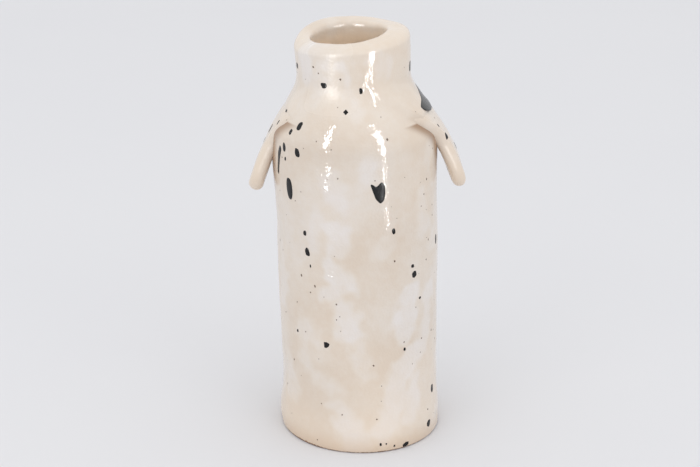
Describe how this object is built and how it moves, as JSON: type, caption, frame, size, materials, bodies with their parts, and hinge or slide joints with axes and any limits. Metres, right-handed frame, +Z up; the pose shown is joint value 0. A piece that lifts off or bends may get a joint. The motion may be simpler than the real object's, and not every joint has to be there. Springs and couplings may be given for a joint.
{
  "type": "stoneware bottle vase",
  "caption": "Hand-built stoneware bottle vase: tall round body, short neck with a thick rolled lip, and drooping clay flaps hanging from the shoulder.",
  "frame": {"origin": "centre of the flat underside, on the surface that the vase stands on", "axes": "+Z up along the body, +X towards the right-hand flap as seen from the front, front towards -Y"},
  "size_m": [0.0896, 0.0714, 0.1752],
  "materials": {
    "bare_clay": "unglazed fired stoneware, matt brown",
    "cream_glaze": "glossy mottled cream glaze over warm buff clay",
    "milky_glaze": "glossy milky glaze, thin and warmer over edges",
    "inner_glaze": "warm buff glaze inside, less milky than outside",
    "black_slip": "splashes and specks of glossy black slip"
  },
  "bodies": {
    "root": {"base_slab": "bare_clay", "base_seam_coil": "inner_glaze", "body_wall": "cream_glaze", "shoulder": "cream_glaze", "neck_collar": "cream_glaze", "rim_coil": "milky_glaze", "wing_left": "milky_glaze", "wing_right": "milky_glaze"}
  },
  "joints": []
}
